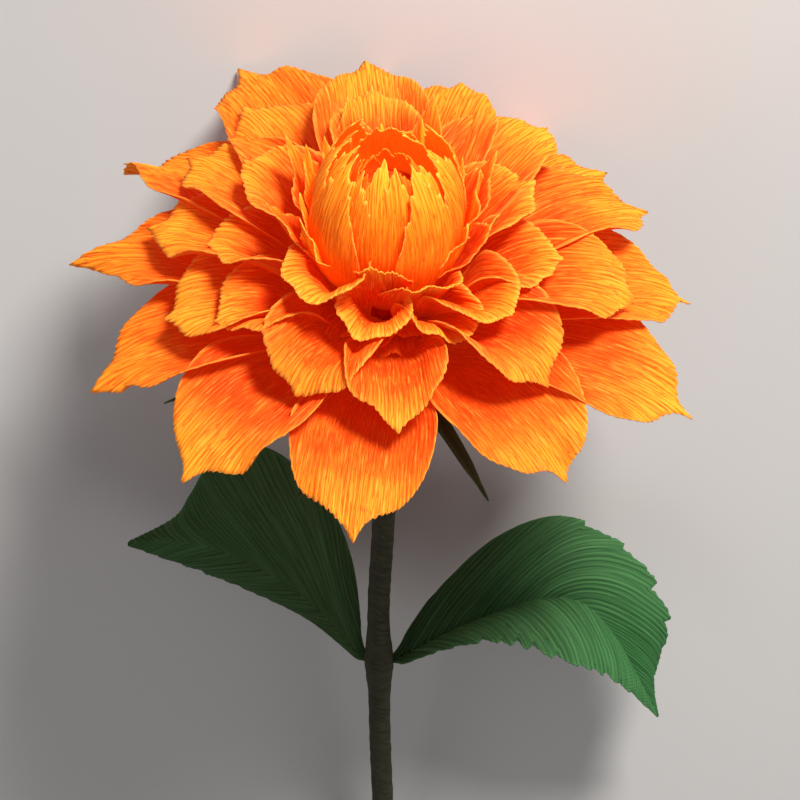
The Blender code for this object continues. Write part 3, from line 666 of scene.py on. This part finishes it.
def makePetal(name, ring, pose, seed, material, touches=None):
    rng = random.Random(seed)
    shape = {key: value for key, value in ring.items() if key != "paper"}
    shape.update(ring["paper"])
    for key in ("twist", "lean", "askew"):
        shape[key] = shape[key] * rng.uniform(-1.0, 1.0)
    shape.update(touches or {})
    shift, kept = shape.get("shift", (0.0, 0.0)), petalCommon["curlKept"]
    tip = shape.get("tip", (pose["tip"][0] + shift[0], pose["tip"][1] + shift[1]))
    pose = dict(pose, curl=1.0 - kept + kept * pose["curl"], tip=tip,
                azimuth=math.radians(shape["azimuth"]) if "azimuth" in shape else pose["azimuth"])
    length = math.hypot(pose["tip"][0] - pose["seat"][0], pose["tip"][1] - pose["seat"][1])
    sheet, across, along = newSheet(name, shape["columns"], shape["rows"])
    line = across[0]
    outline = petalOutline(shape, rng, line, length)
    share = along * outline[None, :]
    surface, halfWidth = petalSurface(shape, pose, across, share)
    outward = crossLines(surface)
    alongGap = (outline[None, :] - share) * length
    sideGap = (1.0 - np.abs(across)) * halfWidth
    # The distance to the nearest rim, with the corners rounded
    rimGap = (np.maximum(alongGap, 1e-5) ** -3.0 + np.maximum(sideGap, 1e-5) ** -3.0) ** (-1.0 / 3.0)
    sideways = across * shape["width"]
    phase = sideways / petalGrain["pitch"] * 2.0 * math.pi
    wander = softNoise(rng, line, (3.0, 7.0, 13.0))[None, :] * petalGrain["wander"]
    wander = wander + petalGrain["slowWander"] * softNoise(rng, share * 9.0, (1.0, 1.9))
    main, second = petalGrain["weights"]
    ridges = np.sin(phase + wander) * main
    ridges = ridges + second * np.sin(phase * petalGrain["secondPitch"] + 2.0 * wander + rng.uniform(0.0, 6.0))
    lift = ridges * smoothStep(*petalGrain["begins"], share) * petalGrain["height"]
    wave = softNoise(rng, line, (5.0, 9.0, 13.0))[None, :] * smoothStep(petalGrain["rippleReach"], 0.0, rimGap)
    lift = lift + shape["ripple"] * wave * smoothStep(*petalGrain["rippleBegins"], share)
    fold = np.clip(1.0 - rimGap / shape["lipWidth"], 0.0, 1.0) ** 2
    lift = lift + shape["lip"] * fold * smoothStep(*petalGrain["lipBegins"], share)
    surface = surface + outward * lift[..., None]
    fibre = np.stack([sideways * 1000.0, share * length * 1000.0, np.full_like(share, seed * 7.31 % 97.0)], axis=-1)
    place = np.stack([share, rimGap * 1000.0, np.full_like(share, rng.random())], axis=-1)
    return finishSheet(sheet, turnAbout(surface, pose["azimuth"]), fibre, place, ridges,
                       petalCommon["thickness"], material)


def makeRings():
    seed = petalCommon["firstSeed"]
    for ringName, ring in petalRings.items():
        names = sorted(name for name in frame["nodes"] if name.startswith("petal_" + ringName))
        for name in names:
            seed += 1
            pose = readPose(name, ring)
            hollow = ringName in ("third", "inner") or petalTouches.get(name, {}).get("hollow")
            material = cupShadeMaterial if hollow else petalMaterial
            if ringName == "bud":
                far = math.sin(pose["azimuth"]) > petalCommon["farSide"]
                material = farBudGlowMaterial if far else budMaterial
            petal = makePetal("crepe_" + name, ring, pose, seed, material, petalTouches.get(name))
            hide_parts(name)
        print("petals:", ringName, len(names))


# Small petals between and inside those of the bud
budFill = {
    "between": {"count": 8, "first": -76.0, "seat": (0.0062, 0.0140), "tips": (0.0068, 0.0082),
                "heights": (0.0535, 0.0560), "width": 0.0082, "bend": -100.0, "draw": 7, "seed": 440},
    "heart": {"count": 9, "first": -60.0, "seat": (0.0080, 0.0340), "tips": (0.0040, 0.0056),
              "heights": (0.0485, 0.0510), "width": 0.0060, "bend": -56.0, "draw": 5, "seed": 400},
}


def fillBud():
    ring = petalRings["bud"]
    for name, setup in budFill.items():
        rng = random.Random(setup["draw"])
        for number in range(setup["count"]):
            azimuth = setup["first"] + 360.0 / setup["count"] * (number + rng.uniform(-0.12, 0.12))
            pose = {"azimuth": math.radians(azimuth), "seat": setup["seat"], "curl": 1.0,
                    "tip": (rng.uniform(*setup["tips"]), rng.uniform(*setup["heights"]))}
            touches = {"width": setup["width"], "bend": setup["bend"], "columns": 56, "rows": 30}
            # petals on the far side and in the heart take papers with a stronger painted glow
            material = farBudGlowMaterial if math.sin(pose["azimuth"]) > 0.0 else budMaterial
            material = heartMaterial if name == "heart" else material
            makePetal(f"crepe_bud_{name}_{number + 1:02d}", ring, pose, setup["seed"] + number, material, touches)
        print("bud petals:", name, setup["count"])


# Narrow upright petals that stand round the bud's sides and back
budCollar = {
    "azimuths": (-30.0, 4.0, 36.0, 66.0, 97.0, 128.0, 158.0, 188.0, 212.0),
    "seat": (0.00705, 0.0100),
    "tips": (0.0205, 0.0240),
    "heights": (0.0400, 0.0500),
    "widths": (0.0054, 0.0072),
    "paper": {"bend": -70.0, "point": 0.75, "cup": (20.0, 42.0, 34.0), "feather": 0.0, "shoulder": 0.55,
              "columns": 48, "rows": 32},
}


def standCollar():
    rng = random.Random(9)
    for number, azimuth in enumerate(budCollar["azimuths"]):
        pose = {"azimuth": math.radians(azimuth + rng.uniform(-5.0, 5.0)), "seat": budCollar["seat"], "curl": 1.0,
                "tip": (rng.uniform(*budCollar["tips"]), rng.uniform(*budCollar["heights"]))}
        touches = dict(budCollar["paper"], width=rng.uniform(*budCollar["widths"]))
        makePetal(f"crepe_collar_{number + 1:02d}", petalRings["inner"], pose, 400 + number, budMaterial, touches)
    print("collar petals:", len(budCollar["azimuths"]))


# Short petals low down between the third ring and the second, which close the depths of the bloom in a paper
# darkened with painted shade
depthPetals = {
    "azimuths": (-142.0, -112.0, -81.0, -52.0, -21.0, 10.0, 47.0, 72.0, 123.0, 166.0),
    "seat": (0.00705, 0.0024),
    "tips": (0.0240, 0.0290),
    "heights": (0.0075, 0.0110),
    "paper": {"width": 0.0125, "cup": (20.0, 52.0, 36.0), "columns": 64, "rows": 26},
}


def fillDepths():
    rng = random.Random(31)
    for number, azimuth in enumerate(depthPetals["azimuths"]):
        pose = {"azimuth": math.radians(azimuth), "seat": depthPetals["seat"], "curl": 1.0,
                "tip": (rng.uniform(*depthPetals["tips"]), rng.uniform(*depthPetals["heights"]))}
        makePetal(f"crepe_depth_{number + 1:02d}", petalRings["second"], pose, 500 + number, shadeMaterial,
                  depthPetals["paper"])
    print("short petals:", len(depthPetals["azimuths"]))


makeRings()
fillBud()
standCollar()
fillDepths()


# Leaves: one sheet for both halves, on the curves of their solids
leafSetup = {
    "columns": 96,
    "rows": 200,
    "paper": 0.00030,
    "reach": 0.985,
    "bulge": 0.0025,
    "jointHeight": -0.127,
    "jointAside": 0.0043,
    "stemAside": -0.0022,
    "grainSlope": 1.5,
    "ridgePitch": 1.15,
    "ridgeHeight": 0.00012,
    "toothDepth": 0.15,
    "toothDepths": (0.4, 1.0),
    "toothLengths": (0.6, 1.4),
    "toothPower": 1.6,
    "teethBlend": 0.15,
    "cutPower": 6,           # keeps the teeth close to the rim
    "teeth": 14.0,
    "teethFrom": {"right": (0.40, 0.10), "left": (0.85, 0.12)},   # where they begin, upper half and lower half
    # how much painted shade and bounced warm light, in the olive of the paper, each leaf takes
    "shadeAndBounce": {"right": 0.10, "left": 0.85},
    "fringe": 0.028,
    "footWidth": 0.35,       # share of the width that the foot has, and how far along it opens
    "footLength": 0.06,
    "tuck": 0.0012,          # how far the foot reaches in under the stem's winding
    "tuckLength": 0.05,
    "wireDrop": 0.00105,     # the wire's depth behind the sheet, and the depth at which the sheet rests on it
    "wireTouch": 0.00065,
    "wireReach": 0.62,
    "crease": 0.06,
}
leafCurves = {
    "right": {
        "midrib": [(0.0, 0.0, 0.0), (0.0204, 0.002, 0.013), (0.0446, 0.002, 0.0228),
                   (0.0588, -0.002, 0.0133), (0.0726, -0.008, -0.0152)],
        "upper": [(0.0, 0.002, 0.002), (0.0104, 0.008, 0.0173), (0.0279, 0.015, 0.033),
                  (0.0468, 0.017, 0.0387), (0.0648, 0.013, 0.0289), (0.0752, 0.004, 0.0138),
                  (0.0712, -0.003, -0.0040), (0.0726, -0.008, -0.0152)],
        "lower": [(0.0, -0.002, -0.001), (0.0122, -0.008, 0.0119), (0.0270, -0.014, 0.0215),
                  (0.0440, -0.018, 0.0188), (0.0589, -0.016, 0.0087), (0.0726, -0.008, -0.0152)],
    },
    "left": {
        "midrib": [(0.0, 0.0, 0.0), (-0.0158, 0.008, 0.0153), (-0.0335, 0.014, 0.0248),
                   (-0.0492, 0.017, 0.0291), (-0.0646, 0.018, 0.0273)],
        "upper": [(0.0, 0.001, 0.004), (-0.0029, 0.008, 0.0309), (-0.0109, 0.017, 0.0467),
                  (-0.0254, 0.024, 0.0574), (-0.0399, 0.026, 0.051), (-0.0466, 0.0245, 0.0400),
                  (-0.0515, 0.0232, 0.0318), (-0.0646, 0.018, 0.0273)],
        "lower": [(0.0, 0.001, -0.003), (-0.0139, 0.012, 0.0023), (-0.0317, 0.020, 0.0063),
                  (-0.0478, 0.022, 0.0133), (-0.0646, 0.018, 0.0265)],
    },
}


def smoothCurve(points, shares):
    corners = np.array(points)
    place = np.clip(shares, 0.0, 1.0) * (len(corners) - 1)
    index = np.minimum(place.astype(int), len(corners) - 2)
    t = (place - index)[..., None]
    start, end = corners[index], corners[index + 1]
    before = corners[np.maximum(index - 1, 0)]
    after = corners[np.minimum(index + 2, len(corners) - 1)]
    return (start * (2 * t**3 - 3 * t**2 + 1) + (end - before) / 2 * (t**3 - 2 * t**2 + t)
            + end * (3 * t**2 - 2 * t**3) + (after - start) / 2 * (t**3 - t**2))


def leafTeeth(rng, share, begin):
    # How much of a half's width is cut away, station by station
    places, depths = [0.0], [0.0]
    while places[-1] < 1.0:
        places.append(places[-1] + rng.uniform(*leafSetup["toothLengths"]) / leafSetup["teeth"])
        depths.append(rng.uniform(*leafSetup["toothDepths"]))
    index = np.clip(np.searchsorted(places, share, side="right") - 1, 0, len(places) - 2)
    start, end = np.array(places)[index], np.array(places)[index + 1]
    left = (end - share) / (end - start)
    tooth = np.array(depths)[index] * leafSetup["toothDepth"] * left ** leafSetup["toothPower"]
    fringe = np.array([rng.uniform(0.0, leafSetup["fringe"]) for _ in share])
    return (tooth + fringe) * smoothStep(begin, begin + leafSetup["teethBlend"], share)


def makeLeaf(side, seed):
    curves = leafCurves[side]
    rng = random.Random(seed)
    sheet, across, along = newSheet("crepe_leaf_" + side, leafSetup["columns"], leafSetup["rows"])
    share = along[:, 0] * leafSetup["reach"]
    rib, upper, lower = (smoothCurve(curves[name], share) for name in ("midrib", "upper", "lower"))
    heading = np.gradient(rib, axis=0)
    upperFace = np.cross(heading, upper - rib)
    lowerFace = np.cross(lower - rib, heading)
    upperFace = upperFace / np.maximum(np.linalg.norm(upperFace, axis=1, keepdims=True), 1e-9)
    outward = upperFace + lowerFace / np.maximum(np.linalg.norm(lowerFace, axis=1, keepdims=True), 1e-9)
    outward = outward / np.maximum(np.linalg.norm(outward, axis=1, keepdims=True), 1e-9)
    outward = np.where(outward[:, 1:2] > 0, -outward, outward)
    out = np.abs(across)[..., None]
    teeth = [leafTeeth(rng, share, begin) for begin in leafSetup["teethFrom"][side]]
    toward = np.where(across[..., None] > 0, (upper - rib)[:, None, :], (lower - rib)[:, None, :])
    cut = np.where(across > 0, teeth[0][:, None], teeth[1][:, None])[..., None]
    narrow = leafSetup["footWidth"]
    foot = narrow + (1.0 - narrow) * smoothStep(0.0, leafSetup["footLength"], share)[:, None, None]
    points = rib[:, None, :] + toward * out * foot * (1.0 - cut * out ** leafSetup["cutPower"])
    sideSign = math.copysign(1.0, curves["midrib"][-1][0])
    points[..., 0] -= sideSign * leafSetup["tuck"] * smoothStep(leafSetup["tuckLength"], 0.0, share)[:, None]
    bulge = leafSetup["bulge"] * np.sin(math.pi * out) * np.sin(math.pi * share)[:, None, None]
    points = points + outward[:, None, :] * bulge
    # The sheet is creased down onto its wire
    fold = np.maximum(np.abs(np.sum(outward * upperFace, axis=1)), 0.3)
    crease = leafSetup["wireDrop"] / fold - leafSetup["wireTouch"]
    crease = crease * smoothStep(leafSetup["wireReach"] + 0.04, leafSetup["wireReach"] - 0.02, share)
    crease = crease[:, None] * np.exp(-((across / leafSetup["crease"]) ** 2))
    points = points - outward[:, None, :] * crease[..., None]
    # The grain runs outwards and back from the midrib
    lengthMm = np.concatenate([[0.0], np.cumsum(np.linalg.norm(np.diff(rib, axis=0), axis=1))]) * 1000.0
    outMm = np.linalg.norm(toward * out, axis=-1) * 1000.0
    slope = leafSetup["grainSlope"]
    grain = (lengthMm[:, None] - outMm * slope / (1.0 + outMm / 60.0)) / math.hypot(1.0, slope)
    ridges = np.sin(grain / leafSetup["ridgePitch"] * 2.0 * math.pi + 2.0 * softNoise(rng, grain / 5.0, (1.0, 2.7)))
    lift = ridges * leafSetup["ridgeHeight"] * np.minimum(1.0, np.abs(across) * 6.0)
    points = points + crossLines(points) * lift[..., None]
    joint = np.array([leafSetup["stemAside"] + sideSign * leafSetup["jointAside"], 0.0, leafSetup["jointHeight"]])
    fibre = np.stack([grain, outMm, np.full_like(grain, seed * 3.7)], axis=-1)
    rim = (1.0 - np.abs(across)) * np.linalg.norm(toward, axis=-1) * 1000.0
    place = np.stack([np.repeat(share[:, None], across.shape[1], axis=1), rim,
                      np.full_like(grain, leafSetup["shadeAndBounce"][side])], axis=-1)
    leaf = finishSheet(sheet, points + joint, fibre, place, ridges, leafSetup["paper"], leafMaterial)
    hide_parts(f"leaf_{side}_upper", f"leaf_{side}_lower")


print("leaves")
makeLeaf("right", 11)
makeLeaf("left", 12)


# Calyx: the collar and its seven sepals
calyxSetup = {
    "sheet": 0.00355, "flare": 0.0020, "top": -0.0125, "length": 0.0060, "width": 0.0054, "tipWidth": 0.0004,
    "fold": 0.17, "droop": 14.0, "paper": 0.0004, "wander": 0.10, "ridgePitch": 0.0009, "ridgeHeight": 0.00008,
    "collarRidges": 26.0, "collarRidgeHeight": 0.0001, "sepalGrid": (14, 44), "collarGrid": (96, 10),
    "sepals": [(-118.0, 0.047, -0.024), (-57.0, 0.046, -0.027), (-8.0, 0.057, -0.021), (44.0, 0.052, -0.020),
               (95.0, 0.050, -0.020), (147.0, 0.052, -0.020), (190.0, 0.057, -0.021)],
}


def makeCalyx():
    parts = []
    lip = calyxSetup["sheet"] + calyxSetup["flare"]
    for number, (azimuth, reach, rise) in enumerate(calyxSetup["sepals"]):
        rng = random.Random(500 + number)
        sheet, across, along = newSheet("calyx_part", *calyxSetup["sepalGrid"])
        radius, height, heading = petalLine((lip, calyxSetup["top"]), (reach, rise), calyxSetup["droop"], 0.0, along)
        width = calyxSetup["tipWidth"] + (calyxSetup["width"] - calyxSetup["tipWidth"]) * (1.0 - along**2)
        width = width * (1.0 + calyxSetup["wander"] * softNoise(rng, along * 6.0, (1.0, 2.2)))
        aside = across * width / 2.0
        liftUp = np.abs(across) * width * calyxSetup["fold"]
        liftUp = liftUp + calyxSetup["ridgeHeight"] * np.sin(aside / calyxSetup["ridgePitch"] * 2.0 * math.pi)
        points = np.stack([radius - liftUp * np.sin(heading), aside, height + liftUp * np.cos(heading)], axis=-1)
        fibre = np.stack([aside * 1000.0, along * 48.0, np.full_like(along, number * 5.3)], axis=-1)
        place = np.stack([along, (1.0 - np.abs(across)) * width * 500.0, np.full_like(along, rng.random())], axis=-1)
        parts.append((sheet, turnAbout(points, math.radians(azimuth)), fibre, place))
    sheet, across, along = newSheet("calyx_part", *calyxSetup["collarGrid"])
    angle = across * math.pi
    radius = calyxSetup["sheet"] + calyxSetup["flare"] * along
    radius = radius + calyxSetup["collarRidgeHeight"] * np.sin(angle * calyxSetup["collarRidges"])
    points = np.stack([radius * np.cos(angle), radius * np.sin(angle),
                       calyxSetup["top"] - calyxSetup["length"] * (1.0 - along)], axis=-1)
    fibre = np.stack([angle * 4.0, along * 6.0, np.full_like(along, 60.0)], axis=-1)
    place = np.stack([along * 0.2, np.full_like(along, 9.0), np.full_like(along, 0.5)], axis=-1)
    parts.append((sheet, points, fibre, place))
    bpy.ops.object.select_all(action="DESELECT")
    for part in parts:
        placeCorners(*part)
        part[0].select_set(True)
    calyx = parts[-1][0]
    bpy.context.view_layer.objects.active = calyx
    bpy.ops.object.join()
    calyx.name = "crepe_calyx"
    bpy.ops.object.mode_set(mode="EDIT")
    bpy.ops.mesh.select_all(action="SELECT")
    bpy.ops.mesh.remove_doubles(threshold=0.00001)
    bpy.ops.object.mode_set(mode="OBJECT")
    thicken(calyx, calyxSetup["paper"], calyxMaterial)
    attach(calyx, "root")
    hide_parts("calyx")


print("calyx")
makeCalyx()


# Stem: paper strip wound over the wire
stemSetup = {
    "radius": 0.0030, "bore": 0.0016, "top": -0.0103, "end": -0.225, "sides": 36, "cuts": 260,
    "swelling": 0.0010, "jointHeight": -0.127, "jointSpread": 0.009, "stripPitch": 0.0085, "stripEdge": 0.00018,
    "wrinkle": 0.00006,
    "bend": [(0.0, 0.0), (-0.065, -0.0008), (-0.111, -0.0023), (-0.143, -0.0021), (-0.225, -0.0004)],
}


def stemAside(height):
    bend = stemSetup["bend"]
    aside = np.full_like(height, bend[-1][1])
    for (high, start), (low, end) in reversed(list(zip(bend, bend[1:]))):
        inside = height >= low
        aside = np.where(inside, start + (end - start) * smoothStep(0.0, 1.0, (high - height) / (high - low)), aside)
    return aside


def makeStem():
    length = stemSetup["top"] - stemSetup["end"]
    bpy.ops.object.select_all(action="DESELECT")
    bpy.ops.mesh.primitive_cylinder_add(vertices=stemSetup["sides"], radius=stemSetup["radius"], depth=length,
                                        location=(0.0, 0.0, 0.0), end_fill_type="NGON")
    stem = bpy.context.active_object
    stem.name = "wound_stem"
    bpy.ops.object.mode_set(mode="EDIT")
    bpy.ops.mesh.select_mode(type="FACE")
    bpy.ops.mesh.select_all(action="DESELECT")
    bpy.ops.object.mode_set(mode="OBJECT")
    for face in stem.data.polygons:              # the flat ends, which the bore runs between
        face.select = abs(face.normal.z) > 0.9
    bpy.ops.object.mode_set(mode="EDIT")
    bpy.ops.mesh.inset(thickness=stemSetup["radius"] - stemSetup["bore"])
    bpy.ops.mesh.bridge_edge_loops()
    bpy.ops.mesh.select_mode(type="EDGE")
    bpy.ops.mesh.select_all(action="DESELECT")
    bpy.ops.object.mode_set(mode="OBJECT")
    corners = stem.data.vertices
    for edge in stem.data.edges:                 # the long ones, cut up so that the stem can bend
        first, second = (corners[index].co for index in edge.vertices)
        edge.select = abs(first.z - second.z) > length / 2.0
    bpy.ops.object.mode_set(mode="EDIT")
    bpy.ops.mesh.subdivide(number_cuts=stemSetup["cuts"])
    bpy.ops.mesh.select_all(action="SELECT")
    bpy.ops.mesh.normals_make_consistent(inside=False)
    bpy.ops.object.mode_set(mode="OBJECT")
    flat = np.empty(len(stem.data.vertices) * 3)
    stem.data.vertices.foreach_get("co", flat)
    flat = flat.reshape(-1, 3)
    height = flat[:, 2] + (stemSetup["top"] + stemSetup["end"]) / 2.0
    radius = np.hypot(flat[:, 0], flat[:, 1])
    angle = np.arctan2(flat[:, 1], flat[:, 0])
    skin = radius > (stemSetup["radius"] + stemSetup["bore"]) / 2.0
    turns = np.mod(height / stemSetup["stripPitch"] + angle / (2.0 * math.pi), 1.0)
    swell = stemSetup["swelling"] * np.exp(-(((height - stemSetup["jointHeight"]) / stemSetup["jointSpread"]) ** 2))
    rng = random.Random(77)
    rough = softNoise(rng, height * 900.0, (1.0, 1.7)) * np.sin(angle * 2.0 + height * 300.0) * stemSetup["wrinkle"]
    grown = radius + np.where(skin, swell + stemSetup["stripEdge"] * (turns - 0.5) + rough, 0.0)
    points = np.stack([stemAside(height) + grown * np.cos(angle), grown * np.sin(angle), height], axis=-1)
    fibre = np.stack([height * 1000.0 * 0.9 + angle * 1.3, angle * 3.0, np.full_like(angle, 5.0)], axis=-1)
    place = np.stack([np.full_like(angle, 0.6), np.minimum(turns, 1.0 - turns) * stemSetup["stripPitch"] * 1000.0,
                      np.full_like(angle, 0.5)], axis=-1)
    placeCorners(stem, points, fibre, place)
    bpy.ops.object.shade_smooth()
    stem.data.materials.append(stemMaterial)
    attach(stem, "root")
    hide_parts("stem_wrap")


print("stem")
makeStem()


# Carried-over solids
coreFinish = noiseMaterial("coreCrepe", (0.55, 0.03, 0.002), (0.80, 0.08, 0.003), 900.0, 0.8)
wireFinish = noiseMaterial("bareWire", (0.30, 0.30, 0.30), (0.48, 0.48, 0.47), 2600.0, 0.38, metallic=1.0,
                           specular=0.5)
leafWireFinish = noiseMaterial("coveredWire", (0.012, 0.060, 0.024), (0.030, 0.12, 0.050), 1800.0, 0.75)
for nodeName, finish in (("core", coreFinish), ("stem_wire", wireFinish),
                         ("leaf_right_wire", leafWireFinish), ("leaf_left_wire", leafWireFinish)):
    frame["nodes"][nodeName].data.materials.clear()
    frame["nodes"][nodeName].data.materials.append(finish)

print("finishing")
